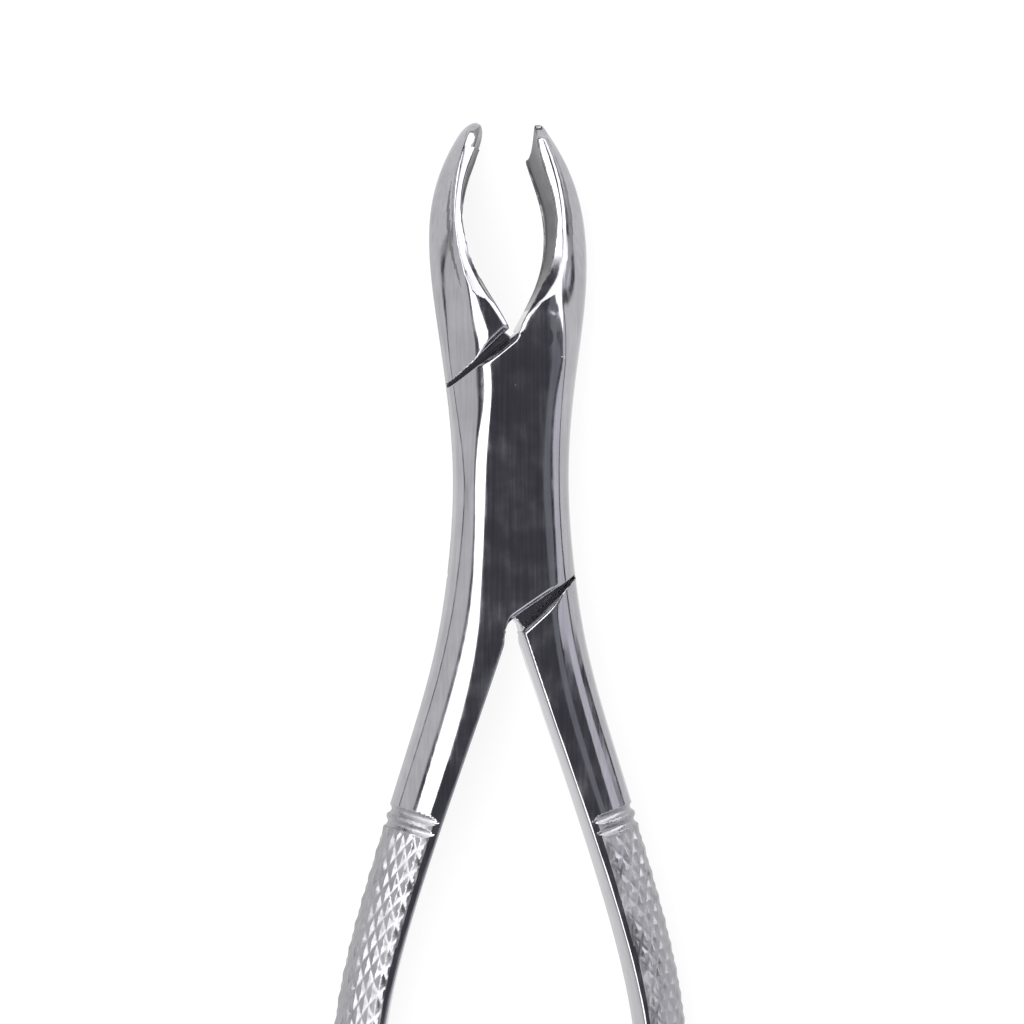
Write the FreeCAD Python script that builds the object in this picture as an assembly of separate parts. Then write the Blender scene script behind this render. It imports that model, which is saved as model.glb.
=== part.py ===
"""Dental extraction forceps, upper molar pattern: two forged steel arms on one hinge screw.

Units are millimetres. The frame: +Z up out of the front of the joint, +Y from the hinge to the beak
tips, +X to the right seen from the front. The origin is on the hinge axis, at the height of the
table that the forceps lies on, so the beak tips and the handle ends touch the plane z = 0.
The front arm runs from the left handle to the right beak and carries the hinge screw. The rear arm
is its mirror image, with the lap on the other side and a rounded beak instead of a pointed one.
"""
import FreeCAD, Part
import math
import os

Vector = FreeCAD.Vector

# ---------------------------------------------------------------- driving dimensions
HANDLE_END = -128.0          # y of the handle ends
TIP_END = 47.5               # y of the beak tips
JOINT_REAR = 5.0             # z of the ground rear face of the joint
JOINT_FRONT = 15.0           # z of the ground front face of the joint
JOINT_MID = (JOINT_REAR + JOINT_FRONT) / 2
LAP_GAP = 0.03               # each lap face stands this far off the middle plane
LAP_EDGE = 14.9              # hinge axis to the edges of an arm's own lap plate
LAP_SHOULDER = 15.6          # hinge axis to the shoulders that the other plate closes on
LAP_EDGE_ANGLE = 36.0        # slope of the lap plate's edges
SHOULDER_ANGLE = 43.0        # slope of the shoulders, steeper because the forceps is part open
EDGE_CHAMFER = 0.7           # broken edge along the lap plate
BEAK_SPLIT = 0.6             # x of the plate's side beside the other arm's beak
HANDLE_SPLIT = 1.2           # the same beside the other arm's handle
SPLIT_ENDS, CROTCH_END = -20.6, -23.0    # y between which that side slopes over to x = 0
END_ROUND = 3.5              # depth of the domed handle ends

POINT_HALF = 0.45            # half height of the point at the tip of the front arm's beak
SCALLOP_Y, SCALLOP_Z = 42.4, 4.1         # where each scallop runs out, from the middle of the beak
SCALLOP_DIP_Y, SCALLOP_DIP_Z = 0.6, 0.35     # how far a scallop dips inside its chord
ROUNDING_Y = 42.6            # y where the rear arm's beak starts to round off

SCREW_HEAD_R = 3.2
SCREW_HEAD_H = 1.9
SCREW_SHANK_R = 2.25
SCREW_THREAD_R = 2.0
THREAD_END = JOINT_MID + LAP_GAP + 3.4   # z of the screw's end, 3.4 mm inside the front arm
SCREW_RECESS = 0.08          # the head lies this far under the rear face
RUNNING_CLEARANCE = 0.04     # radial, between the screw and the rear arm
SLOT_WIDTH = 0.9
SLOT_DEPTH = 0.8
SLOT_ANGLE = 35.0            # how far the driver slot is turned from the X axis

# Section tables. Each row is y and a value, joined by a natural cubic spline.
OUTER = [(-128, 15.5), (-114, 19.2), (-100, 22.1), (-84, 23.8), (-68, 22.95), (-52, 19.15),
         (-36, 14.25), (-22, 10.25), (-10, 8.35), (0, 7.75), (10, 8.3), (20.9, 9.7), (30.9, 10.45),
         (38.9, 9.6), (43.4, 7.9), (46.2, 6.2), (48.9, 4.3)]
HANDLE_GAP = [(-128, 8.7), (-114, 12.1), (-100, 15.0), (-84, 16.95), (-68, 15.6), (-52, 11.4),
              (-36, 6.15), (-22, 1.45), (-17.5, 0.0), (-14, -1.1)]
MOUTH = [(15.5, -1.2), (18.9, 0.2), (20.9, 1.25), (23.2, 2.5), (25.3, 3.6), (27.4, 4.5), (29.5, 5.15),
         (32.6, 5.6), (35.9, 5.5), (38.9, 4.85), (41.9, 4.0), (44.9, 3.4), (48.9, 3.3)]
MIDDLE = [(-128, 4.7), (-116, 4.95), (-100, 5.35), (-84, 6.1), (-66, 7.2), (-48, 8.4), (-30, 9.45),
          (-14, 9.98), (0, 10.0), (14.5, 10.0), (20.9, 9.85), (26.9, 8.9), (33.9, 7.05), (40.9, 5.25),
          (48.9, 3.3)]
THICK = [(-128, 9.0), (-114, 9.85), (-96, 10.3), (-78, 10.3), (-56, 9.9), (-34, 9.6), (-20, 9.8),
         (-9, 10.24), (0, 10.26), (9, 10.26), (19.9, 10.1), (26.9, 9.4), (34.9, 8.2), (42.9, 7.1),
         (48.9, 6.4)]
LEAN = [(15.5, 0.0), (24.9, -0.04), (28.9, 0.02), (32.9, 0.09), (36.9, 0.16), (41.9, 0.22), (48.9, 0.24)]
# Facets of the outer side: how far two corners lie in from the outer edge, and their heights as
# shares of half the thickness. The bevels are the widths of the broken inner edges.
CORNER_1 = [(-128, 1.0), (-90, 1.1), (-50, 1.2), (-20, 1.9), (0, 2.4), (20, 2.0), (30, 1.4), (48, 0.8)]
RISE_1 = [(-128, 0.60), (-90, 0.66), (-50, 0.68), (-20, 0.75), (0, 0.80), (20, 0.75), (30, 0.68),
          (48, 0.60)]
CORNER_2 = [(-128, 2.6), (-90, 3.2), (-50, 3.6), (-20, 4.0), (0, 3.65), (20, 4.0), (30, 3.3),
            (48, 1.3)]
RISE_2 = [(-128, 0.95), (-50, 0.965), (-20, 0.985), (0, 0.999), (20, 0.985), (30, 0.95), (48, 0.93)]
INNER_BEVEL = [(-128, 1.6), (-90, 1.9), (-50, 1.8), (-30, 1.2), (-14, 0.7)]
MOUTH_BEVEL = [(15, 0.5), (24, 0.8), (32, 1.0), (48, 0.7)]
JOINT_FROM, JOINT_TO = -17.9, 19.3     # y between which both arms share one block
# Heights as shares of half the thickness:
SIDE_LAND = 0.24             # the flat land along the widest line of the outer side
INNER_LAND = 0.16            # the flat land on the inner side of a handle
INNER_CORNER = 0.72          # the corner above it, and how far that lies towards the crest
INNER_CORNER_IN = 0.35
BEAK_LAND = 0.80             # the edges of a beak's hollow
HOLLOW_SIDE, HOLLOW_FLOOR = 0.50, 0.17   # the corners inside the hollow
HOLLOW_SIDE_DEPTH = 0.7      # depth at the side corners, as a share of the full depth
HOLLOW_START, HOLLOW_FULL = 21.0, 31.0   # y where the hollow starts and where it is full
HOLLOW_DEPTH, HOLLOW_LEAST = 1.0, 0.02
CREST_LAND = 0.25            # least width of the front face between its two bevels
JOINT_CREST = 0.9            # x of the front crest in the joint
ROUND_END_ANGLES = (9, 20, 34, 50, 68, 90)   # stations round the domed handle end
HANDLE_STATIONS, JOINT_STATIONS, BEAK_STATIONS = 24, 11, 16

FAR = 60.0                   # beyond the forceps on either side
LOW, HIGH = -6.0, 24.0       # below and above it
BEYOND_TIPS, BEYOND_HANDLES = 70.0, -140.0


def spline(table):
    """A natural cubic spline through the rows of a table, as a function of y."""
    ys = [row[0] for row in table]
    vs = [row[1] for row in table]
    n = len(ys)
    h = [ys[i + 1] - ys[i] for i in range(n - 1)]
    diag, rhs = [1.0] * n, [0.0] * n
    upper = [0.0] * n
    for i in range(1, n - 1):
        slope = (vs[i + 1] - vs[i]) / h[i] - (vs[i] - vs[i - 1]) / h[i - 1]
        lower = h[i - 1] / 6
        diag[i] = (h[i - 1] + h[i]) / 3 - lower * upper[i - 1]
        upper[i] = h[i] / 6 / diag[i]
        rhs[i] = (slope - lower * rhs[i - 1]) / diag[i]
    bend = [0.0] * n
    for i in range(n - 2, 0, -1):
        bend[i] = rhs[i] - upper[i] * bend[i + 1]

    def value(y):
        i = 0
        while i < n - 2 and y > ys[i + 1]:
            i += 1
        a = (ys[i + 1] - y) / h[i]
        b = 1 - a
        cubic = ((a ** 3 - a) * bend[i] + (b ** 3 - b) * bend[i + 1]) * h[i] ** 2 / 6
        return a * vs[i] + b * vs[i + 1] + cubic

    return value


outer, handle_gap, mouth = spline(OUTER), spline(HANDLE_GAP), spline(MOUTH)
middle, thick, lean = spline(MIDDLE), spline(THICK), spline(LEAN)
corner_1, rise_1, corner_2, rise_2 = spline(CORNER_1), spline(RISE_1), spline(CORNER_2), spline(RISE_2)
inner_bevel, mouth_bevel = spline(INNER_BEVEL), spline(MOUTH_BEVEL)


def end_scale(y):
    """How much the section has shrunk towards its middle, near the rounded handle end."""
    depth = (HANDLE_END + END_ROUND - y) / END_ROUND
    if depth <= 0:
        return 1.0
    return math.sqrt(max(1 - depth ** 2, 0.0))


def wire_at(y, points):
    """A closed polygon in the plane y, from (x, height share) points, leaning as the beaks do."""
    half = thick(y) / 2 * end_scale(y)
    centre = (outer(y) + handle_gap(y)) / 2 if y < JOINT_FROM else 0.0
    tilt = lean(y) if y > LEAN[0][0] else 0.0
    corners = []
    for x, share in points:
        across = centre + (x - centre) * end_scale(y)
        side = 0.0 if x == 0 else math.copysign(1.0, x)
        corners.append(Vector(across + side * tilt * half * share, y, middle(y) + half * share))
    return Part.makePolygon(corners + corners[:1])


def both_sides(half_points):
    """The points of the right half, from front to rear, and their mirror images."""
    return half_points + [(-x, share) for x, share in reversed(half_points)]


def outer_points(y):
    """The outer side of a right-hand section, from the front crest round to the rear crest."""
    edge = outer(y)
    return [(edge - corner_2(y), rise_2(y)), (edge - corner_1(y), rise_1(y)), (edge, SIDE_LAND),
            (edge, -SIDE_LAND), (edge - corner_1(y), -rise_1(y)), (edge - corner_2(y), -rise_2(y))]


def handle_points(y):
    """A right handle: rounded outside, drafted flat inside."""
    face = handle_gap(y)
    crest = min(face + inner_bevel(y), outer(y) - corner_2(y) - CREST_LAND)
    corner = face + (crest - face) * INNER_CORNER_IN
    inside = [(corner, -INNER_CORNER), (face, -INNER_LAND), (face, INNER_LAND), (corner, INNER_CORNER)]
    return [(crest, 1.0)] + outer_points(y) + [(crest, -1.0)] + inside


def beak_points(y):
    """A right beak: rounded outside, hollowed lengthwise inside."""
    face = mouth(y)
    crest = min(face + mouth_bevel(y), outer(y) - corner_2(y) - CREST_LAND)
    share = min(1.0, max(0.0, (y - HOLLOW_START) / (HOLLOW_FULL - HOLLOW_START)))
    depth = HOLLOW_LEAST + HOLLOW_DEPTH * math.sin(share * math.pi / 2) ** 2
    side, floor = face + HOLLOW_SIDE_DEPTH * depth, face + depth
    hollow = [(face, -BEAK_LAND), (side, -HOLLOW_SIDE), (floor, -HOLLOW_FLOOR),
              (floor, HOLLOW_FLOOR), (side, HOLLOW_SIDE), (face, BEAK_LAND)]
    return [(crest, 1.0)] + outer_points(y) + [(crest, -1.0)] + hollow


def joint_points(y):
    """The joint, outside of both arms together."""
    return both_sides([(JOINT_CREST, 1.0)] + outer_points(y) + [(JOINT_CREST, -1.0)])


def stations(start, stop, count):
    """Evenly spaced values of y, both ends included."""
    return [start + (stop - start) * i / (count - 1) for i in range(count)]


def loft(ys, points):
    """A solid through the sections at those values of y, straight from one to the next."""
    solid = Part.makeLoft([wire_at(y, points(y)) for y in ys], True, False)
    if solid.Volume < 0:
        solid.reverse()
    return solid


def right_handle():
    """The domed end and the rest of the handle."""
    start = HANDLE_END + END_ROUND
    dome = [start - END_ROUND * math.cos(math.radians(angle)) for angle in ROUND_END_ANGLES]
    return [loft(dome, handle_points), loft(stations(start, JOINT_FROM, HANDLE_STATIONS), handle_points)]


def right_beak():
    """The beak before its tip is shaped, a little longer than it ends up."""
    return [loft(stations(JOINT_TO, TIP_END + 0.4, BEAK_STATIONS), beak_points)]


def joint_block():
    """The joint, ground flat in front and behind."""
    block = loft(stations(JOINT_FROM, JOINT_TO, JOINT_STATIONS), joint_points)
    corner = Vector(-FAR, -FAR, JOINT_REAR)
    return block.common(Part.makeBox(2 * FAR, 2 * FAR, JOINT_FRONT - JOINT_REAR, corner))


def prism(points, low, high):
    """An upright prism over a polygon of (x, y) points."""
    face = Part.Face(Part.makePolygon([Vector(x, y, low) for x, y in points + points[:1]]))
    return face.extrude(Vector(0, 0, high - low))


def line_point(angle, distance, x):
    """The point at x on the line of that slope whose normal distance from the hinge is given."""
    a = math.radians(angle)
    return (x, (distance + math.sin(a) * x) / math.cos(a))


def front_arm_room():
    """Everything that belongs to the front arm: its plate in front, its own halves behind."""
    plate = [line_point(LAP_EDGE_ANGLE, LAP_EDGE, -FAR), line_point(LAP_EDGE_ANGLE, LAP_EDGE, BEAK_SPLIT),
             (BEAK_SPLIT, BEYOND_TIPS), (FAR, BEYOND_TIPS),
             line_point(LAP_EDGE_ANGLE, -LAP_EDGE, FAR),
             line_point(LAP_EDGE_ANGLE, -LAP_EDGE, -HANDLE_SPLIT), (-HANDLE_SPLIT, SPLIT_ENDS),
             (0, CROTCH_END), (0, BEYOND_HANDLES), (-FAR, BEYOND_HANDLES)]
    beak = [line_point(-SHOULDER_ANGLE, LAP_SHOULDER, 0), (0, BEYOND_TIPS), (FAR, BEYOND_TIPS),
            line_point(-SHOULDER_ANGLE, LAP_SHOULDER, FAR)]
    handle = [line_point(-SHOULDER_ANGLE, -LAP_SHOULDER, 0),
              line_point(-SHOULDER_ANGLE, -LAP_SHOULDER, -FAR), (-FAR, BEYOND_HANDLES), (0, BEYOND_HANDLES)]
    room = prism(plate, JOINT_MID + LAP_GAP, HIGH)
    for outline in (beak, handle):
        room = room.fuse(prism(outline, LOW, JOINT_MID + LAP_GAP))
    return room.removeSplitter()


def upper_chamfer():
    """A wedge that breaks the front edge of the plate on the sloping line above the hinge."""
    low, rise = JOINT_FRONT - EDGE_CHAMFER, 8 * EDGE_CHAMFER
    profile = [Vector(0, LAP_EDGE, low), Vector(0, LAP_EDGE - rise, low + rise),
               Vector(0, LAP_EDGE + rise, low + rise), Vector(0, LAP_EDGE + rise, low)]
    wedge = Part.Face(Part.makePolygon(profile + profile[:1])).extrude(Vector(-FAR, 0, 0))
    # turned onto the line, it ends a little past the middle of the forceps
    wedge.translate(Vector(LAP_EDGE * math.tan(math.radians(LAP_EDGE_ANGLE)) + 0.4, 0, 0))
    wedge.rotate(Vector(0, 0, 0), Vector(0, 0, 1), LAP_EDGE_ANGLE)
    return wedge


def edge_chamfers():
    """Both broken edges of the front arm's plate."""
    upper = upper_chamfer()
    lower = upper.copy()
    lower.rotate(Vector(0, 0, 0), Vector(0, 0, 1), 180)
    return upper.fuse(lower)


def mirrored(shape):
    """The other arm's version of a shape: left and right exchanged, front and rear exchanged."""
    across = shape.mirror(Vector(0, 0, 0), Vector(1, 0, 0))
    return across.mirror(Vector(0, 0, JOINT_MID), Vector(0, 0, 1))


def tip_cutter(arc, corners, width):
    """A solid across the beak, from an arc in the plane x = 0 that straight lines close."""
    lines = [Part.makeLine(a, b) for a, b in zip(corners, corners[1:])]
    return Part.Face(Part.Wire([arc.toShape()] + lines)).extrude(Vector(width, 0, 0))


def point_tip():
    """What is cut off the right beak to leave a central point with a scallop on each side."""
    top = TIP_END - 0.1
    cutters = [Part.makeBox(FAR, FAR, HIGH - LOW, Vector(0, top, LOW))]
    for side in (1, -1):
        peak = Vector(0, top, middle(TIP_END) + side * POINT_HALF)
        foot = Vector(0, SCALLOP_Y, middle(SCALLOP_Y) + side * SCALLOP_Z)
        dip = (peak + foot) * 0.5 - Vector(0, SCALLOP_DIP_Y, side * SCALLOP_DIP_Z)
        beyond = peak.z + side * HIGH
        corners = [foot, Vector(0, SCALLOP_Y, beyond), Vector(0, BEYOND_TIPS, beyond),
                   Vector(0, BEYOND_TIPS, peak.z), peak]
        cutters.append(tip_cutter(Part.Arc(peak, dip, foot), corners, FAR))
    return cutters[0].fuse(cutters[1:])


def round_tip():
    """What is cut off the left beak to leave a rounded end."""
    half = thick(ROUNDING_Y) / 2 + 0.1
    rear = Vector(0, ROUNDING_Y, middle(ROUNDING_Y) - half)
    front = Vector(0, ROUNDING_Y, middle(ROUNDING_Y) + half)
    arc = Part.Arc(rear, Vector(0, TIP_END, middle(TIP_END) + 0.1), front)
    corners = [front, Vector(0, ROUNDING_Y, HIGH), Vector(0, BEYOND_TIPS, HIGH),
               Vector(0, BEYOND_TIPS, LOW), Vector(0, ROUNDING_Y, LOW), rear]
    return tip_cutter(arc, corners, -FAR)


def cylinder(radius, low, high):
    """A cylinder on the hinge axis between two heights."""
    return Part.makeCylinder(radius, high - low, Vector(0, 0, low))


def screw_body(grow):
    """The hinge screw's outside, grown by a clearance where it turns in the rear arm."""
    head_low = JOINT_REAR + SCREW_RECESS
    head_high = head_low + SCREW_HEAD_H
    head = cylinder(SCREW_HEAD_R + grow, LOW if grow else head_low, head_high + grow)
    shank = cylinder(SCREW_SHANK_R + grow, head_high, JOINT_MID + LAP_GAP)
    return head.fuse(shank)


def hinge_screw():
    """A flat-headed screw, slotted on the rear face and threaded into the front arm."""
    thread = cylinder(SCREW_THREAD_R, JOINT_MID, THREAD_END)
    screw = screw_body(0.0).fuse(thread).removeSplitter()
    slot_floor = JOINT_REAR + SCREW_RECESS + SLOT_DEPTH
    slot = Part.makeBox(2 * FAR, SLOT_WIDTH, slot_floor - LOW, Vector(-FAR, -SLOT_WIDTH / 2, LOW))
    slot.rotate(Vector(0, 0, 0), Vector(0, 0, 1), SLOT_ANGLE)
    return screw.cut(slot)


def left(shapes):
    """The same shapes on the left-hand side."""
    return [shape.mirror(Vector(0, 0, 0), Vector(1, 0, 0)) for shape in shapes]


def arm(handle, beak, room):
    """One arm: its handle, its share of the joint and its beak, as a single forging."""
    pieces = [piece.common(room) for piece in handle + [joint_block()] + beak]
    solid = pieces[0].fuse(pieces[1:])
    return solid.removeSplitter()


def main():
    front = arm(left(right_handle()), right_beak(), front_arm_room())
    rear = arm(right_handle(), left(right_beak()), mirrored(front_arm_room()))
    front = front.cut(point_tip())
    rear = rear.cut(round_tip())
    front = front.cut(cylinder(SCREW_THREAD_R, LOW, THREAD_END))
    rear = rear.cut(screw_body(RUNNING_CLEARANCE))
    front = front.cut(edge_chamfers())
    rear = rear.cut(mirrored(edge_chamfers()))
    parts = {"front_arm": front, "rear_arm": rear, "hinge_screw": hinge_screw()}
    os.makedirs("parts", exist_ok=True)
    for name, shape in parts.items():
        shape.exportStep(f"parts/{name}.step")


main()
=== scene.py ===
"""Looks of the dental extraction forceps: polished steel forgings with a cut knurl, on a pale table.

Lengths in the shape code are millimetres, in the frame of the part; meshes are scaled to metres last.
Both arms come from one field function, negative inside the steel, written for an arm whose handle lies at
negative x and whose beak lies at positive x. The front arm is like that. The rear arm is mirrored in x, and
its plate lies on the other side of the joint's middle. Each arm is cut into three pieces by finish: the
knurled grip, the hollow of the beak, whose darker tint is painted shade, and the rest of the body.
"""
import bpy
import math
import numpy as np
from mathutils import Matrix, Vector


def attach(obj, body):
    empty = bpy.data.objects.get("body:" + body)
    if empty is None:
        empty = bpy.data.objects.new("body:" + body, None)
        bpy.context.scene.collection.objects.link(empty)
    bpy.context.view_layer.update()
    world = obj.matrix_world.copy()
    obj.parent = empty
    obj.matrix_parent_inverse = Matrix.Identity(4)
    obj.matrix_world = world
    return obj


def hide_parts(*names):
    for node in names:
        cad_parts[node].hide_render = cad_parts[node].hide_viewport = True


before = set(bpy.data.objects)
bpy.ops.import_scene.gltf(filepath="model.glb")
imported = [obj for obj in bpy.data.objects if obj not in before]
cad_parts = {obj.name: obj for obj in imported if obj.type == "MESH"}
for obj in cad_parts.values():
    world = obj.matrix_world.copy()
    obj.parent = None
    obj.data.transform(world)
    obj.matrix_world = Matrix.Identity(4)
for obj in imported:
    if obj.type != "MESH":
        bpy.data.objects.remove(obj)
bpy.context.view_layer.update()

MM = 0.001
TINY = 1e-9                              # keeps divisions and roots away from zero
HANDLE_END, TIP_END = -128.0, 47.5
JOINT_MID, JOINT_HALF = 10.0, 5.0        # height of the joint's middle, and half the joint's thickness

# The grid that the surface is found on
GRID = 0.215
GRID_WIDE, GRID_DEEP = (-9.2, 9.3), (-5.9, 6.0)          # reach each side of an arm's middle
GRID_LONG = HANDLE_END - 0.7, TIP_END + 0.8
LONGEST_MOVE, LEAST_SLOPE = 0.15, 0.05   # limits that keep a point's move onto the surface short
MOVES, SMOOTHINGS = 3, 2                 # how often points are moved there, and smoothed in between
CUTS_NOTHING = -9.0                      # a field value deeper than any point inside an arm

# The rounded outside
SIDE_ROUNDING = 0.8, 0.6, 0.22, 0.2      # of the edges between its facets, from the outermost in
FACE_ROUNDING = 0.2                      # of the edge where the front or rear face starts
FOOT_RISE, CREST_INSET = 0.12, 2.0       # where its lowest facet starts; how far its highest one runs in
RISE_C = 0.99                            # height of the third corner, as a share of half the thickness
CROWN_R, HANDLE_CROWN_R = 90.0, 42.0     # the ground front and rear faces are slightly crowned
FLAT_HALF, FLAT_FADE = 15.0, 0.02        # half length of the joint's flat faces; how fast they end
BLEND = 8.0                              # length over which the handle or the beak becomes the joint
HANDLE_BLEND = 10.0

# The inner sides of handle and beak
CROTCH, NOTCH = -17.9, 19.5              # where the handles and the beaks part
HANDLE_LIMIT, BEAK_LIMIT = 0.2, 0.1      # the largest x of the handle and the smallest x of the beak
LEAN_FROM = NOTCH - 3                    # where the beak's outer side starts to lean
DRAFT_FOOT, DRAFT_BROW = 0.05, 0.9       # corners of the handle's drafted side, in half thicknesses
BROW_SHARE = 0.78                        # how far across the bevel the brow lies
BREAK_Y, BREAK_DROP, BREAK_EASE = 22.4, 0.38, 0.005      # where and how fast the beaks' front drops
BEVEL_SLOPE = {True: 0.36, False: 0.6}   # of the beaks' broken inner edges, front arm then rear arm
HOLLOW_START, HOLLOW_RISE = 21, 10       # where the beak's hollow starts, and over what length it deepens
HOLLOW_DEPTHS = (36, 47), (1.0, 0.45)    # it grows shallower towards the tip: y, then depth
HOLLOW_SHARE = 0.8                       # its share of the thickness
DARK_FROM, DARK_MARGIN = 22.5, 0.02      # where its painted shade, a darker tint, starts; how far that laps over its rim
DARK_TURN = 0.6                          # faces that look towards the tip more than this get no painted shade and stay polished

# The lap joint: how far the plate's upper and lower edges, and the shoulders that face them on the other
# arm, lie from the hinge's axis, and how much they slope
LAP_GAP = 0.03                           # from the joint's middle to each lap face
LAP_TOP, LAP_TOP_ANGLE = 14.95, math.radians(39)
LAP_BOTTOM, LAP_BOTTOM_ANGLE = 14.4, math.radians(34)
SHOULDER_TOP, SHOULDER_BOTTOM, SHOULDER_ANGLE = 15.2, 14.6, math.radians(43)
EDGE_BEVEL, SHOULDER_BEVEL = 0.7, 0.8
BEAK_SPLIT, HANDLE_SPLIT = 0.85, 1.5     # how far the plate stops short of the other arm's beak and handle
BEAK_BEVEL_SHIFT, HANDLE_BEVEL_SHIFT = 0.4, 0.3          # how much sooner its bevels stop
BEAK_ROUNDING, HANDLE_ROUNDING = 0.5, 1.2                # of the plate's corners there
BEAK_BEVEL_ROUNDING, HANDLE_BEVEL_ROUNDING = 0.4, 0.8    # of the bevels' corners there
SHOULDER_ROUNDING, SHARP = 0.2, 0.02     # of the shoulders' bevels, and of the lap faces' edges
HALF_ROOT = math.sqrt(0.5)

# The ends: a pointed beak on the front arm, a rounded one on the rear arm, domed handles
POINT_Y, POINT_ZETA = TIP_END - 0.1, 1.1
SCALLOPS = (1, (45.4, 3.1)), (-1, (42.2, 3.6))           # side, and y and depth where each scallop starts
SCALLOP_SAG, SCALLOP_OVERLAP = 0.4, 1.0
DIMPLE, DIMPLE_R = (5.5, 23.0, 17.4), 2.9                # where the wheel stopped on the pointed beak
TIP_ROUND = 3.4                          # length of the rounded tip
TIP_ACROSS, TIP_DEEP = 1.25, 1.08        # its radii, in half widths and in half thicknesses
END_ROUND, DOME_FULLNESS = 3.5, 1.22     # length of the handle's dome, and how full its shoulders are
TIP_SIZE, DOME_SIZE = 2.2, 3.4           # turn distances in radii into roughly millimetres

# How far the edges are rounded where one part of an arm meets the next
FACE_EDGE, INNER_EDGE, CUT_EDGE, END_EDGE = 0.3, 0.25, 0.12, 0.3
DRAFT_EDGE, BROW_EDGE, MOUTH_EDGE = 0.5, 0.2, 0.2
CROTCH_EDGE, NOTCH_EDGE = 0.6, 0.5
SCALLOP_EDGE, DIMPLE_EDGE, SEAT_EDGE, SEAT_CORNER = 0.25, 0.1, 0.15, 0.05

# The screw's seat in the rear arm's underside
SCREW_HEAD_R, SCREW_HEAD_H, SCREW_RECESS = 3.2, 1.9, 0.08
BORE_R = SCREW_HEAD_R + 0.04

# The diamond knurl and the two ring grooves above it
KNURL_PITCH, KNURL_DEPTH, KNURL_ANGLE = 1.72, 0.27, math.radians(32)
KNURL_BLUNT = 0.05                       # how blunt its ridges and furrows are
KNURL_RADIUS = 4.4                       # the handle's radius, as the knurl's spacing round it takes it
KNURL_TOP = -40.0                        # y above which nothing is cut
KNURL_STARTS, KNURL_ENDS = (1.35, 1.85), (78.0, 77.0)    # along the handle, from between the ring grooves
RINGS_Y = -44.2                          # between the ring grooves
RING_OFFSET, RING_DEPTH, RING_WIDTH, RING_POWER = 0.85, 0.42, 0.62, 1.6
KNURL_FADE = math.radians(98), math.radians(126)         # angles where the knurl and the rings run out
RING_FADE = math.radians(104), math.radians(132)
KNURL_SINK, RING_SINK = 1.05, 1.1        # the share of their depths that they lose there
GRIP_REACH = math.radians(118)           # where the knurled finish ends
ARC_STEP = 0.1

# Looks: texture scales in 1/m, depths and sizes in m, each steel's tint with its roughness
LINES_ALONG, LINES_ACROSS = (2600, 90, 2600), (120, 3200, 900)
WAVE_SCALE, WAVE_DEPTH = 170.0, 0.00004
DULL_SCALE = 240.0
LINE_DEPTH, ACROSS_SHARE = 0.0000018, 0.6
DULL_RANGE, DULL_ROUGH = (0.42, 0.72), (0.8, 1.7)        # noise, and the share of the roughness it gives
LINE_RANGE, LINE_ROUGH = (0.3, 0.7), (-0.25, 0.3)
TINT_RANGE, TINT_SHARE = (0.7, 1.3), (0.86, 1.06)
POLISHED = (0.39, 0.39, 0.41), 0.12
KNURLED = (0.36, 0.36, 0.375), 0.36
# the hollow's steel: rougher for a matte finish, and tinted darker as painted shade for the deep hollow
MATTE_PAINTED_SHADE = (0.2, 0.2, 0.205), 0.3
SCREW_STEEL = (0.54, 0.54, 0.55), 0.25
FLOOR_SIZE, FLOOR_GREY, FLOOR_ROUGH, FLOOR_GLOW = 3.0, 0.16, 0.9, 0.82
ROOM_COLOUR, ROOM_STRENGTH = (0.85, 0.85, 1.0, 1), 0.12

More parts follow.
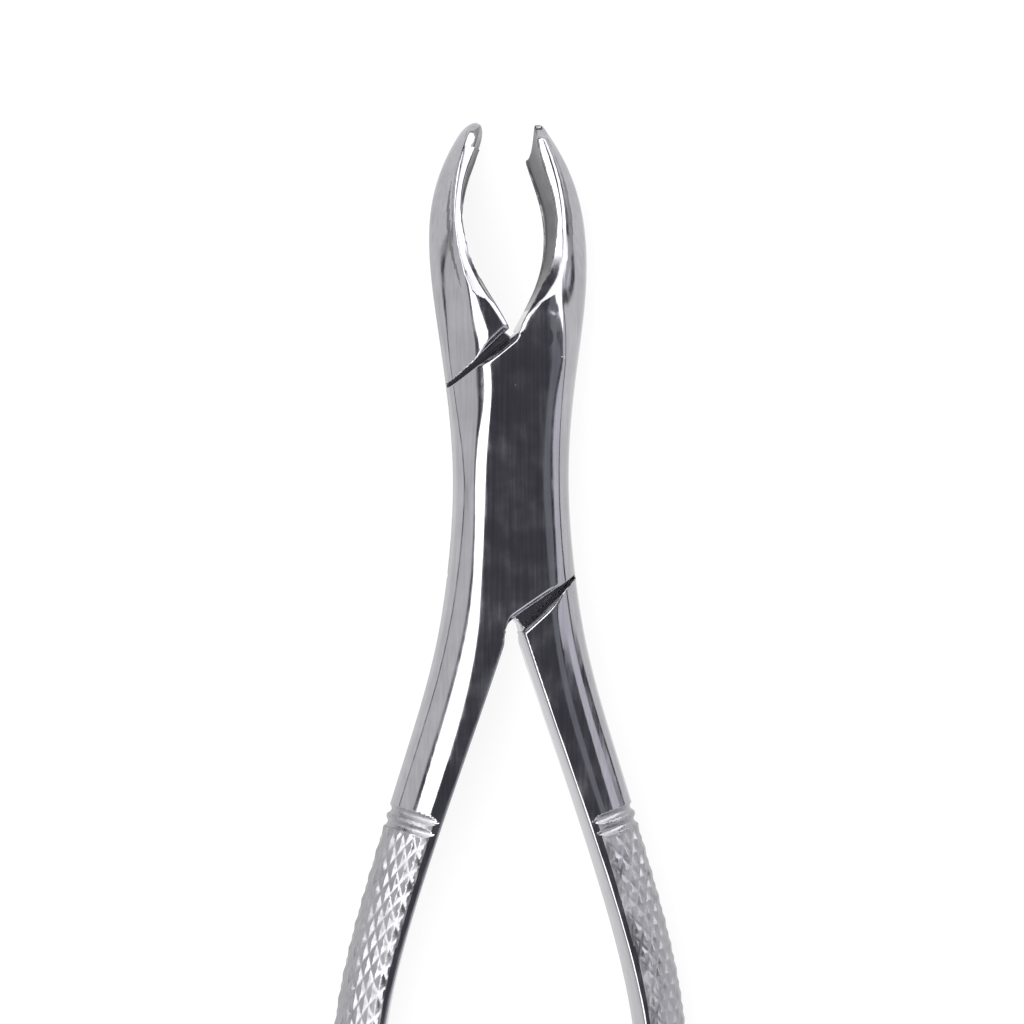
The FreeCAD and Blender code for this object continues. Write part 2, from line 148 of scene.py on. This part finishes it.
# Section tables: y and value, joined by a natural cubic spline
FINE_STEP = 0.05
TABLES = {
    "outer": [(-128, 15.5), (-114, 19.2), (-100, 22.1), (-84, 23.8), (-68, 22.95), (-52, 19.15),
              (-36, 14.25), (-22, 10.25), (-10, 8.35), (0, 7.75), (10, 8.3), (20.9, 9.7), (30.9, 10.45),
              (38.9, 9.35), (43.4, 7.5), (46.2, 5.85), (48.9, 4.0)],
    "gap": [(-128, 8.7), (-114, 12.1), (-100, 15.0), (-84, 16.95), (-68, 15.6), (-52, 11.4),
            (-36, 6.15), (-22, 1.45), (-17.5, 0.0), (-14, -1.1)],
    "mouth": [(15.5, -1.2), (18.9, 0.2), (20.9, 1.25), (23.2, 2.5), (25.3, 3.6), (27.4, 4.5),
              (29.5, 5.15), (32.6, 5.6), (35.9, 5.5), (38.9, 4.85), (41.9, 4.0), (44.9, 3.4),
              (48.9, 3.3)],
    "round_beak": [(28.9, 0.0), (34.9, -0.25), (39.9, -0.5), (43.4, -0.05), (46.2, 0.75), (48.9, 1.2)],
    "column": [(21.9, 0.0), (24.9, 0.8), (28.4, 0.8), (32.9, 0.45), (38.9, 0.25), (48.9, 0.1)],
    "middle": [(-128, 4.7), (-116, 4.95), (-100, 5.35), (-84, 6.1), (-66, 7.2), (-48, 8.4),
               (-30, 9.45), (-14, 9.98), (0, 10.0), (14.5, 10.0), (20.9, 9.9), (26.9, 8.95), (33.9, 7.05),
               (40.9, 5.25), (48.9, 3.3)],
    "thick": [(-128, 9.0), (-114, 9.85), (-96, 10.3), (-78, 10.3), (-56, 9.9), (-34, 9.6),
              (-20, 9.8), (-9, 10.24), (0, 10.26), (9, 10.26), (19.9, 10.24), (26.9, 9.5), (34.9, 8.2),
              (42.9, 7.1), (48.9, 6.4)],
    "lean": [(15.5, 0.0), (24.9, -0.04), (28.9, 0.02), (32.9, 0.09), (36.9, 0.16), (41.9, 0.22),
             (48.9, 0.24)],
    "inner_bevel": [(-128, 1.2), (-90, 1.2), (-50, 0.8), (-28, 0.5), (-14, 0.4)],
    "mouth_bevel": [(15.5, 0.45), (22.9, 0.7), (27.9, 1.05), (32.9, 1.15), (42.9, 1.1), (48.9, 0.9)],
    # three corners of the rounded outer side: insets from the outer edge, heights in half thicknesses
    "inset_a": [(-128, 0.7), (-50, 0.8), (-20, 0.7), (0, 0.5), (12, 0.5), (20.9, 0.8), (27.9, 1.6),
                (40.9, 1.2), (48.9, 0.7)],
    "inset_b": [(-128, 2.6), (-50, 3.1), (-36, 3.2), (-20, 2.8), (0, 2.1), (14.5, 2.3), (20.9, 3.0),
                (25.9, 4.0), (31.9, 3.5), (38.4, 2.95), (43.4, 2.1), (48.9, 1.1)],
    "inset_c": [(-128, 4.4), (-50, 5.0), (-28, 5.3), (-20, 4.7), (0, 4.0), (14.5, 4.1), (20.9, 4.5),
                (25.9, 4.75), (31.9, 3.95), (38.4, 3.4), (43.4, 2.5), (48.9, 1.5)],
    "rise_a": [(-128, 0.52), (-80, 0.52), (-40, 0.52), (-10, 0.52), (3, 0.5), (12, 0.41), (20.9, 0.42),
               (27.9, 0.58), (35.9, 0.6), (48.9, 0.6)],
    "rise_b": [(-128, 0.84), (-90, 0.84), (-60, 0.84), (-30, 0.84), (-10, 0.84), (4, 0.84), (14.5, 0.845),
               (20.9, 0.9), (25.9, 0.95), (30.9, 0.96), (38.9, 0.96), (48.9, 0.96)],
    "right_shift": [(-128, -0.3), (-90, -0.3), (-50, -0.3), (-28, -0.3), (-12, -0.2), (0, 0.0),
                    (12, 0.0), (24, 0.1), (31, 0.5), (40, 0.5), (48.9, 0.5)],
    "left_shift": [(-12, 0.0), (-5, 0.0), (0, 0.05), (6, 0.6), (13, 1.7), (18.9, 1.6), (22.9, 0.6),
                   (26.9, 0.05), (30.9, 0.0)],
}


def natural_spline(table):
    """Fine samples of a natural cubic spline, as (ys, values)."""
    ys, vs = (np.array(column, float) for column in zip(*table))
    n = len(ys)
    h = np.diff(ys)
    matrix, rhs = np.eye(n), np.zeros(n)
    for i in range(1, n - 1):
        matrix[i, i - 1:i + 2] = h[i - 1] / 6, (h[i - 1] + h[i]) / 3, h[i] / 6
        rhs[i] = (vs[i + 1] - vs[i]) / h[i] - (vs[i] - vs[i - 1]) / h[i - 1]
    bend = np.linalg.solve(matrix, rhs)
    fine = np.arange(ys[0], ys[-1] + FINE_STEP / 5, FINE_STEP)
    i = np.clip(np.searchsorted(ys, fine) - 1, 0, n - 2)
    a = (ys[i + 1] - fine) / h[i]
    b = 1 - a
    cubic = ((a ** 3 - a) * bend[i] + (b ** 3 - b) * bend[i + 1]) * h[i] ** 2 / 6
    return fine, a * vs[i] + b * vs[i + 1] + cubic


SPLINES = {name: natural_spline(table) for name, table in TABLES.items()}


def at(name, y):
    """The value of a section table at y."""
    return np.interp(y, *SPLINES[name])


def smax(a, b, k):
    """The greater of two fields, with the edge between them rounded over a width k."""
    h = np.maximum(k - np.abs(a - b), 0) / k
    return np.maximum(a, b) + h * h * k * 0.25


def smin(a, b, k):
    """The lesser of two fields, rounded in the same way."""
    return -smax(-a, -b, k)


def plane(x, z, p, q):
    """Signed distance to the line from p to q, positive on its right."""
    dx, dz = q[0] - p[0], q[1] - p[1]
    return (dz * (x - p[0]) - dx * (z - p[1])) / np.hypot(dx, dz)


def smooth_step(low, high, value):
    """0 before low, 1 past high and an S-shaped ramp between; low may be the greater one."""
    t = np.clip((value - low) / (high - low), 0, 1)
    return t * t * (3 - 2 * t)


# ---------------------------------------------------------------- the arm as a field
def spine(y):
    """x of the middle of the section: the handle, the joint, then the beak."""
    handle = -(at("outer", y) + at("gap", y)) / 2
    beak = (at("outer", y) + at("mouth", y)) / 2
    below = smooth_step(CROTCH + BLEND, CROTCH - HANDLE_BLEND, y)
    above = smooth_step(NOTCH - BLEND, NOTCH + BLEND, y)
    return handle * below + beak * above


def outside(x, y, zeta, left):
    """The rounded outside of both arms together; left is 1 on the side ground wider, else 0."""
    half = at("thick", y) / 2
    ax, az = np.abs(x), np.abs(zeta)
    edge = at("outer", y)
    shift = at("left_shift", y) * left + at("right_shift", y) * (1 - left)
    a = (edge - at("inset_a", y), half * at("rise_a", y))
    b = (edge - at("inset_b", y) - shift, half * at("rise_b", y))
    c = (edge - at("inset_c", y) - shift, half * RISE_C)
    foot, crest = (edge, half * FOOT_RISE), (c[0] - CREST_INSET, half)
    corners = foot, a, b, c, crest
    field = ax - edge
    for start, end, rounding in zip(corners, corners[1:], SIDE_ROUNDING):
        field = smax(field, plane(ax, az, start, end), rounding)
    crown = (ax - (edge + at("gap", y)) / 2) ** 2 / (2 * HANDLE_CROWN_R)
    return smax(field, az - half + crown * smooth_step(CROTCH, CROTCH - BLEND, y), FACE_ROUNDING)


def handle_inside(x, y, zeta):
    """The flat drafted inner side of the handle, open above the crotch."""
    half = at("thick", y) / 2
    face, bevel = at("gap", y), at("inner_bevel", y)
    az = np.abs(zeta)
    foot, brow = (face, half * DRAFT_FOOT), (face + bevel * BROW_SHARE, half * DRAFT_BROW)
    crest = (face + bevel, half)
    wall = smax(face + x, plane(-x, az, brow, foot), DRAFT_EDGE)
    wall = smax(wall, plane(-x, az, crest, brow), BROW_EDGE)
    return smin(wall, CROTCH - y, CROTCH_EDGE)


def beak_face(y, front):
    """x of the beak's inner side: the rounded beak is the fuller one at its tip."""
    return at("mouth", y) - (0 if front else at("round_beak", y))


def drop(y):
    """How far the ground front of the beaks lies under the front of the joint."""
    past = np.maximum(y - BREAK_Y, 0)
    return BREAK_DROP * past - BREAK_EASE * past ** 2


def beak_inside(x, y, zeta, front):
    """The inner side of the beak with its lengthwise hollow, open below the notch."""
    half = at("thick", y) / 2
    face = beak_face(y, front)
    bevel = at("mouth_bevel", y) + at("mouth", y) - face
    across, az = x - at("lean", y) * zeta, np.abs(zeta)
    opening = np.sin(np.clip((y - HOLLOW_START) / HOLLOW_RISE, 0, 1) * math.pi / 2) ** 2
    depth = opening * np.interp(y, *HOLLOW_DEPTHS)
    bowl = np.sqrt(np.maximum(1 - (zeta / (HOLLOW_SHARE * half)) ** 2, 0.0))
    wall = face + depth * bowl - across
    front_half = np.minimum(half, JOINT_MID + JOINT_HALF - drop(y) - at("middle", y))
    top = np.where(zeta > 0, front_half, half)
    if front:
        bevel = bevel + np.where(zeta > 0, at("column", y), 0.0)
    foot, crest = (face, top - BEVEL_SLOPE[front] * bevel), (face + bevel, top)
    wall = smax(wall, plane(across, az, crest, foot), MOUTH_EDGE)
    return smin(wall, y - NOTCH, NOTCH_EDGE)


def lap(x, y, h):
    """What the lap joint takes off, as four fields: the two beside the plate, on the side where h is
    positive, then the two behind it. h is the height from the joint's middle."""
    upper = math.cos(LAP_TOP_ANGLE) * y - math.sin(LAP_TOP_ANGLE) * x - LAP_TOP
    lower = -math.cos(LAP_BOTTOM_ANGLE) * y + math.sin(LAP_BOTTOM_ANGLE) * x - LAP_BOTTOM
    top = smin(upper, BEAK_SPLIT - x, BEAK_ROUNDING)
    bottom = smin(lower, x + HANDLE_SPLIT, HANDLE_ROUNDING)
    beside = smin(np.maximum(top, bottom), h - LAP_GAP, SHARP)
    rim = h - JOINT_HALF + EDGE_BEVEL
    bevel_top = smin((upper + rim) * HALF_ROOT, BEAK_SPLIT - BEAK_BEVEL_SHIFT - x, BEAK_BEVEL_ROUNDING)
    bevel_bottom = smin((lower + rim) * HALF_ROOT, x + HANDLE_SPLIT - HANDLE_BEVEL_SHIFT,
                        HANDLE_BEVEL_ROUNDING)
    cross = math.sin(SHOULDER_ANGLE) * x + math.cos(SHOULDER_ANGLE) * y
    room = np.minimum(SHOULDER_TOP - cross, SHOULDER_BOTTOM + cross)
    behind = smin(room, LAP_GAP - h, SHARP)
    bevel_behind = smin((room - h - JOINT_HALF + SHOULDER_BEVEL) * HALF_ROOT, LAP_GAP - h, SHOULDER_ROUNDING)
    return beside, np.maximum(bevel_top, bevel_bottom), behind, bevel_behind


def circle_through(p, q, sag):
    """Centre and radius of the arc from p to q that bulges by sag to the left of that direction."""
    p, q = np.array(p, float), np.array(q, float)
    chord = q - p
    length = np.hypot(*chord)
    radius = (length / 2) ** 2 / (2 * sag) + sag / 2
    left = np.array((-chord[1], chord[0])) / length
    return (p + q) / 2 + left * (sag - radius), radius


def point_tip(y, zeta):
    """Two scallops that leave a point at the end of the beak, nearer to its front."""
    field = y - POINT_Y
    for side, corner in SCALLOPS:
        centre, radius = circle_through((POINT_Y, side * POINT_ZETA), corner, SCALLOP_SAG)
        scallop = radius - np.hypot(y - centre[0], side * zeta - centre[1])
        near = side * zeta > side * POINT_ZETA - SCALLOP_OVERLAP
        field = smax(field, np.where(near, scallop, CUTS_NOTHING), SCALLOP_EDGE)
    return field


def round_tip(x, y, zeta):
    """A rounded end to the beak, both across and in depth."""
    half = at("thick", y) / 2
    middle = (at("outer", y) + beak_face(y, False)) / 2
    width = (at("outer", y) - beak_face(y, False)) / 2
    ahead = np.maximum(y - TIP_END + TIP_ROUND, 0) / TIP_ROUND
    across = (x - at("lean", y) * zeta - middle) / (width * TIP_ACROSS)
    reach = np.sqrt(ahead ** 2 + (zeta / (half * TIP_DEEP)) ** 2 + across ** 2 + TINY)
    return np.where(ahead > 0, (reach - 1) * TIP_SIZE, CUTS_NOTHING)


def end_dome(x, y, zeta):
    """The domed handle end, as an ellipsoid past a plane."""
    start = HANDLE_END + END_ROUND
    half = at("thick", y) / 2
    width = (at("outer", y) - at("gap", y)) / 2
    centre = -(at("outer", y) + at("gap", y)) / 2
    depth = np.maximum(start - y, 0) / END_ROUND
    radial = np.sqrt(((x - centre) / width) ** 2 + (zeta / half) ** 2 + TINY)
    dome = (np.sqrt((radial / DOME_FULLNESS) ** 2 + depth ** 2) - 1) * DOME_SIZE
    return np.where(y < start, dome, CUTS_NOTHING)


# ---------------------------------------------------------------- knurl
ARC_Y = np.arange(HANDLE_END - 2, 0, ARC_STEP)
ARC_X = np.gradient((at("outer", ARC_Y) + at("gap", ARC_Y)) / 2, ARC_Y)
ARC_S = -np.cumsum(np.sqrt(1 + ARC_X ** 2)) * ARC_STEP
ARC_S = ARC_S - np.interp(RINGS_Y, ARC_Y, ARC_S)


def along_handle(x, y):
    """Distance along the handle from between the ring grooves, growing towards the handle's end."""
    centre = -(at("outer", y) + at("gap", y)) / 2
    slope = np.interp(y, ARC_Y, -ARC_X)
    return np.interp(y, ARC_Y, ARC_S) - (x - centre) * slope / np.sqrt(1 + slope ** 2)


def round_handle(x, y, zeta):
    """Angle round the handle's section, from the middle of its outer side."""
    centre = -(at("outer", y) + at("gap", y)) / 2
    half_width = (at("outer", y) - at("gap", y)) / 2
    return np.arctan2(zeta / at("thick", y) * 2, (centre - x) / half_width)


def knurl(x, y, zeta):
    """Depth cut away by the two ring grooves and the diamond knurl."""
    along = along_handle(x, y)
    angle = round_handle(x, y, zeta)
    around = angle * KNURL_RADIUS
    fade = smooth_step(*KNURL_FADE, np.abs(angle))
    cut = np.zeros_like(along)
    for turn in (1, -1):
        n = around * math.cos(KNURL_ANGLE) + turn * along * math.sin(KNURL_ANGLE)
        off = np.abs(n / KNURL_PITCH - np.round(n / KNURL_PITCH)) * 2
        groove = KNURL_DEPTH * (1 - np.sqrt(off * off + KNURL_BLUNT))
        cut = np.maximum(cut, groove - fade * KNURL_DEPTH * KNURL_SINK)
    cut = cut * smooth_step(*KNURL_STARTS, along) * smooth_step(*KNURL_ENDS, along)
    ring_fade = smooth_step(*RING_FADE, np.abs(angle)) * RING_DEPTH * RING_SINK
    for place in (-RING_OFFSET, RING_OFFSET):
        off = np.abs(along - place) / RING_WIDTH
        cut = np.maximum(cut, RING_DEPTH * (1 - off ** RING_POWER) - ring_fade)
    return np.maximum(cut, 0)


def joint_faces(x, y, z):
    """The ground front and rear faces over the joint, and the beaks' front that drops away from them."""
    flat = JOINT_HALF + FLAT_FADE * np.maximum(np.abs(y) - FLAT_HALF, 0) ** 2 - x * x / (2 * CROWN_R)
    front = np.where(y > JOINT_MID, z - JOINT_MID - JOINT_HALF + drop(y), CUTS_NOTHING)
    return np.abs(z - JOINT_MID) - flat, front


def limits(x, y):
    """Keeps the handle and the beak on their own sides."""
    handle = np.where(y < CROTCH, x - HANDLE_LIMIT, CUTS_NOTHING)
    return np.maximum(handle, np.where(y > NOTCH, BEAK_LIMIT - x, CUTS_NOTHING))


def dimple(field, x, y, z):
    """The field with the round dimple ground into it."""
    centre_x, centre_y, centre_z = DIMPLE
    away = np.sqrt((x - centre_x) ** 2 + (y - centre_y) ** 2 + (z - centre_z) ** 2)
    return smax(field, DIMPLE_R - away, DIMPLE_EDGE)


def screw_seat(field, x, y, z):
    """The field with the seat of the screw's head bored into it from below."""
    seat_top = JOINT_MID - JOINT_HALF + SCREW_RECESS + SCREW_HEAD_H
    seat = smax(np.hypot(x, y) - BORE_R, z - seat_top, SEAT_CORNER)
    return smax(field, -seat, SEAT_EDGE)


def arm_field(x, y, z, front):
    """Signed field of one arm; x is mirrored for the rear arm, z is the real height."""
    zeta = z - at("middle", y)
    h = (z - JOINT_MID) * (1 if front else -1)
    left = np.where((x < 0) if front else (x > 0), 1.0, 0.0)
    lean = np.where((y > LEAN_FROM) & (x > 0), at("lean", y), 0.0)
    faces, beak_front = joint_faces(x, y, z)
    field = smax(outside(x - lean * zeta, y, zeta, left), faces, FACE_EDGE)
    field = np.maximum(field, beak_front)
    field = np.where(y < KNURL_TOP, field + knurl(x, y, zeta), field)
    field = smax(field, handle_inside(x, y, zeta), INNER_EDGE)
    field = smax(field, beak_inside(x, y, zeta, front), INNER_EDGE)
    field = np.maximum(field, limits(x, y))
    for cut in lap(x, y, h):
        field = smax(field, cut, CUT_EDGE)
    field = smax(field, point_tip(y, zeta) if front else round_tip(x, y, zeta), END_EDGE)
    field = dimple(field, x, y, z) if front else screw_seat(field, x, y, z)
    return smax(field, end_dome(x, y, zeta), END_EDGE)


# ---------------------------------------------------------------- meshing
def crossed_cells(inside):
    """Which cells of the grid have corners on both sides of the surface."""
    count = np.zeros(tuple(n - 1 for n in inside.shape), np.int8)
    nx, ny, nz = count.shape
    for i in (0, 1):
        for j in (0, 1):
            for k in (0, 1):
                count += inside[i:nx + i, j:ny + j, k:nz + k]
    return (count > 0) & (count < 8)


def quads_round_edges(inside, index, axis):
    """The quads round those grid edges along one axis that the surface crosses, facing outward."""
    lead = [slice(None)] * 3
    lead[axis] = slice(1, None)
    back = [slice(None)] * 3
    back[axis] = slice(0, -1)
    first, second = inside[tuple(back)], inside[tuple(lead)]
    flips = np.argwhere(first != second)
    b, c = [other for other in range(3) if other != axis]
    ok = (flips[:, b] > 0) & (flips[:, c] > 0)
    ok &= (flips[:, b] < inside.shape[b] - 1) & (flips[:, c] < inside.shape[c] - 1)
    flips = flips[ok]
    corners = []
    for db, dc in ((1, 1), (0, 1), (0, 0), (1, 0)):
        cell = flips.copy()
        cell[:, b] -= db
        cell[:, c] -= dc
        corners.append(index[tuple(cell.T)])
    quad = np.stack(corners, 1)
    outward = first[tuple(flips.T)]
    swap = outward if axis == 1 else ~outward
    quad[swap] = quad[swap][:, ::-1]
    return quad


def surface_nets(field, axes):
    """Points and quads of the zero surface of a field that is sampled on a grid."""
    inside = field < 0
    crossed = crossed_cells(inside)
    index = np.full(crossed.shape, -1, np.int64)
    index[crossed] = np.arange(crossed.sum())
    cells = np.argwhere(crossed).T
    points = np.stack([places[cell] + GRID / 2 for places, cell in zip(axes, cells)], 1)
    return points, np.concatenate([quads_round_edges(inside, index, axis) for axis in range(3)])


def gradient(function, p, step=0.02):
    """Slope of a field at each point, by central differences."""
    g = np.empty_like(p)
    for axis in range(3):
        d = np.zeros(3)
        d[axis] = step
        g[:, axis] = (function(p + d) - function(p - d)) / (2 * step)
    return g


def project(function, p):
    """Moves points onto the surface along its gradient."""
    for _ in range(MOVES):
        g = gradient(function, p)
        step = (function(p) / np.maximum((g * g).sum(1), LEAST_SLOPE))[:, None] * g
        length = np.linalg.norm(step, axis=1, keepdims=True)
        p = p - step * np.minimum(1, LONGEST_MOVE / np.maximum(length, TINY))
    return p


def relax(p, quads):
    """Each point halfway to the mean of its neighbours."""
    total, count = np.zeros_like(p), np.zeros(len(p))
    for i in range(4):
        for j in (1, 3):
            a, b = quads[:, i], quads[:, (i + j) % 4]
            for axis in range(3):
                total[:, axis] += np.bincount(a, p[b, axis], len(p))
            count += np.bincount(a, minlength=len(p))
    mean = total / np.maximum(count, 1)[:, None]
    return p + 0.5 * (mean - p)


def arm_mesh(front):
    """Points, quads and normals of one arm, in millimetres in the part's frame."""
    axes = [np.arange(*reach, GRID) for reach in (GRID_WIDE, GRID_LONG, GRID_DEEP)]
    u, y, w = np.ix_(*axes)
    points, quads = surface_nets(arm_field(u + spine(y), y + 0 * u, w + at("middle", y), front), axes)
    points[:, 0] += spine(points[:, 1])
    points[:, 2] += at("middle", points[:, 1])

    def surface(p):
        """The arm's field at an array of points."""
        return arm_field(p[:, 0], p[:, 1], p[:, 2], front)

    points = project(surface, points)
    for _ in range(SMOOTHINGS):
        points = project(surface, relax(points, quads))
    normals = gradient(surface, points)
    normals /= np.maximum(np.linalg.norm(normals, axis=1, keepdims=True), TINY)
    if not front:
        points[:, 0] *= -1
        normals[:, 0] *= -1
        quads = quads[:, ::-1]
    return points, quads, normals


def mesh_object(name, points, quads, normals, material):
    """A smooth mesh of the chosen quads, with the points that they use."""
    used = np.unique(quads)
    renumbered = np.full(len(points), -1)
    renumbered[used] = np.arange(len(used))
    mesh = bpy.data.meshes.new(name)
    mesh.from_pydata((points[used] * MM).tolist(), [], renumbered[quads].tolist())
    mesh.polygons.foreach_set("use_smooth", np.ones(len(quads), bool))
    mesh.normals_split_custom_set_from_vertices(normals[used].tolist())
    mesh.materials.append(material)
    mesh.update()
    thing = bpy.data.objects.new(name, mesh)
    bpy.context.scene.collection.objects.link(thing)
    return thing


# ---------------------------------------------------------------- materials
def noise(nodes, links, place, scale, stretch=(1, 1, 1), detail=2.0):
    """A noise texture over the piece's own coordinates, with a stretch along its axes."""
    mapping = nodes.new("ShaderNodeMapping")
    mapping.inputs["Scale"].default_value = stretch
    links.new(place, mapping.inputs["Vector"])
    texture = nodes.new("ShaderNodeTexNoise")
    texture.inputs["Scale"].default_value = scale
    texture.inputs["Detail"].default_value = detail
    links.new(mapping.outputs["Vector"], texture.inputs["Vector"])
    return texture.outputs["Fac"]


def remap(nodes, links, value, start, end):
    """A value spread from the range start to the range end."""
    spread = nodes.new("ShaderNodeMapRange")
    for label, number in zip(("From Min", "From Max", "To Min", "To Max"), (*start, *end)):
        spread.inputs[label].default_value = number
    links.new(value, spread.inputs["Value"])
    return spread.outputs["Result"]


def bump(nodes, links, height, distance, before=None):
    """A bumped normal, on top of an earlier one if there is one."""
    node = nodes.new("ShaderNodeBump")
    node.inputs["Strength"].default_value = 1.0
    node.inputs["Distance"].default_value = distance
    links.new(height, node.inputs["Height"])
    if before is not None:
        links.new(before, node.inputs["Normal"])
    return node.outputs["Normal"]


def add(nodes, links, first, second):
    """The sum of two values."""
    node = nodes.new("ShaderNodeMath")
    node.operation = "ADD"
    links.new(first, node.inputs[0])
    links.new(second, node.inputs[1])
    return node.outputs["Value"]


def steel(name, tint, rough):
    """Polished steel: polishing lines along the tool, hairline scratches, faint waves and dull spots."""
    material = bpy.data.materials.new(name)
    material.use_nodes = True
    nodes, links = material.node_tree.nodes, material.node_tree.links
    shader = nodes["Principled BSDF"]
    shader.inputs["Metallic"].default_value = 1.0
    place = nodes.new("ShaderNodeTexCoord").outputs["Object"]
    lines = noise(nodes, links, place, 1.0, LINES_ALONG, 3.0)
    across = noise(nodes, links, place, 1.0, LINES_ACROSS, 3.0)
    waves = noise(nodes, links, place, WAVE_SCALE)
    dull = noise(nodes, links, place, DULL_SCALE, detail=5.0)

    smear = remap(nodes, links, dull, DULL_RANGE, [share * rough for share in DULL_ROUGH])
    streak = remap(nodes, links, lines, LINE_RANGE, [share * rough for share in LINE_ROUGH])
    links.new(add(nodes, links, smear, streak), shader.inputs["Roughness"])

    colour = nodes.new("ShaderNodeMix")
    colour.data_type = "RGBA"
    for socket, share in zip("AB", TINT_SHARE):
        colour.inputs[socket].default_value = (*[c * share for c in tint], 1)
    mottle = remap(nodes, links, add(nodes, links, lines, dull), TINT_RANGE, (0.0, 1.0))
    links.new(mottle, colour.inputs["Factor"])
    links.new(colour.outputs["Result"], shader.inputs["Base Color"])

    normal = bump(nodes, links, waves, WAVE_DEPTH)
    normal = bump(nodes, links, lines, LINE_DEPTH, normal)
    normal = bump(nodes, links, across, LINE_DEPTH * ACROSS_SHARE, normal)
    links.new(normal, shader.inputs["Normal"])
    return material


# ---------------------------------------------------------------- pieces
def zones(points, quads, normals):
    """Which quads belong to the knurled grip and which to the beak's hollow, where the shade is painted."""
    x, y, z = points[quads].mean(1).T
    x, zeta = np.abs(x), z - at("middle", y)
    grip = (y < KNURL_TOP) & (along_handle(-x, y) > -RING_OFFSET - RING_WIDTH)
    grip &= np.abs(round_handle(-x, y, zeta)) < GRIP_REACH
    inner_half = x - at("lean", y) * zeta < (at("outer", y) + at("mouth", y)) / 2
    # painted shade on the hollow's inner half, but not on faces turned towards the tip
    hollow = (y > DARK_FROM) & inner_half & (normals[quads].mean(1)[:, 1] < DARK_TURN)
    hollow &= np.abs(zeta) < (HOLLOW_SHARE + DARK_MARGIN) * at("thick", y) / 2
    return grip, hollow


def build_arms():
    """Both arms, each as three pieces that ride on its body and stand for its solid."""
    polished = steel("polished_steel", *POLISHED)
    knurled = steel("knurled_steel", *KNURLED)
    # the hollow's rougher steel with its darker tint as painted shade
    matte_shaded = steel("matte_painted_shade_steel", *MATTE_PAINTED_SHADE)
    for front, body in ((True, "front_arm"), (False, "rear_arm")):
        points, quads, normals = arm_mesh(front)
        grip, hollow = zones(points, quads, normals)
        for label, inside, finish in (("grip", grip, knurled), ("hollow", hollow, matte_shaded),
                                      ("body", ~(grip | hollow), polished)):
            chosen = quads[inside]
            piece = mesh_object(f"{body}_{label}", points, chosen, normals, finish)
            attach(piece, body)
            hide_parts(body)
            print(piece.name, len(chosen) * 2, "triangles")


def finish_screw():
    """The screw keeps its solid's shape and gets its own steel."""
    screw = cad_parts["hinge_screw"]
    screw.data.materials.clear()
    screw.data.materials.append(steel("screw_steel", *SCREW_STEEL))


# ---------------------------------------------------------------- stage
def floor():
    """The pale table, which glows a little so that it looks evenly lit."""
    bpy.ops.mesh.primitive_plane_add(size=FLOOR_SIZE, location=(0, 0, 0))
    table = bpy.context.object
    table.name = "floor"
    material = bpy.data.materials.new("table")
    material.use_nodes = True
    shader = material.node_tree.nodes["Principled BSDF"]
    shader.inputs["Base Color"].default_value = (FLOOR_GREY, FLOOR_GREY, FLOOR_GREY, 1)
    shader.inputs["Emission Color"].default_value = (1, 1, 1, 1)
    shader.inputs["Emission Strength"].default_value = FLOOR_GLOW
    shader.inputs["Roughness"].default_value = FLOOR_ROUGH
    table.data.materials.append(material)


def panel(name, lean, direction, spread, length, radiance, colour=(1, 1, 1), reach=1.2):
    """A softbox that leans by so many degrees from straight up, towards a direction in the table's plane.

    spread is the angle in degrees that it fills across, as seen from the object.
    """
    data = bpy.data.lights.new(name, "AREA")
    data.shape = "RECTANGLE"
    width = 2 * reach * math.tan(math.radians(spread) / 2)
    data.size, data.size_y = width, length
    data.energy = radiance * math.pi * width * length
    data.color = colour
    lamp = bpy.data.objects.new(name, data)
    side = Vector((*direction, 0))
    up = Vector((0, 0, 1))
    ray = math.sin(math.radians(lean)) * side + math.cos(math.radians(lean)) * up
    across = math.cos(math.radians(lean)) * side - math.sin(math.radians(lean)) * up
    along = ray.cross(across)
    lamp.matrix_world = Matrix((across, along, ray)).transposed().to_4x4()
    lamp.location = ray * reach
    bpy.context.scene.collection.objects.link(lamp)


def lights():
    """A dim room, and softboxes placed where the steel's faces reflect them."""
    world = bpy.data.worlds.new("studio")
    bpy.context.scene.world = world
    world.use_nodes = True
    background = world.node_tree.nodes["Background"]
    background.inputs["Color"].default_value = ROOM_COLOUR
    background.inputs["Strength"].default_value = ROOM_STRENGTH
    panel("left_box", 26, (-1, 0), 32, 2.3, 3.9)
    panel("left_wall", 68, (-1, 0), 34, 2.6, 0.93)
    panel("right_fill", 28, (1, 0), 25, 2.0, 0.24, (0.9, 0.9, 1.0))
    panel("right_wall", 65, (1, 0), 33, 2.6, 1.0, (0.95, 0.93, 1.0))
    panel("beak_box", 58, (0.5, 0.87), 40, 2.0, 2.7)
    panel("rear_box", 50, (0, -1), 40, 1.8, 1.5)


def camera():
    """Looks down on the front face, from a little to the left."""
    data = bpy.data.cameras.new("camera")
    data.lens_unit = "FOV"
    reach, view = 0.8, 0.1337
    tilt, roll = math.radians(7.5), math.radians(-0.25)
    data.angle = 2 * math.atan(view / 2 / reach)
    eye = bpy.data.objects.new("camera", data)
    target = Vector((0.00013, -0.00326, 0.010))
    eye.location = target + Vector((-math.sin(tilt), 0, math.cos(tilt))) * reach
    eye.rotation_euler = (0, -tilt, roll)
    bpy.context.scene.collection.objects.link(eye)
    bpy.context.scene.camera = eye
    bpy.context.scene.view_settings.view_transform = "Standard"


build_arms()
finish_screw()
floor()
lights()
camera()
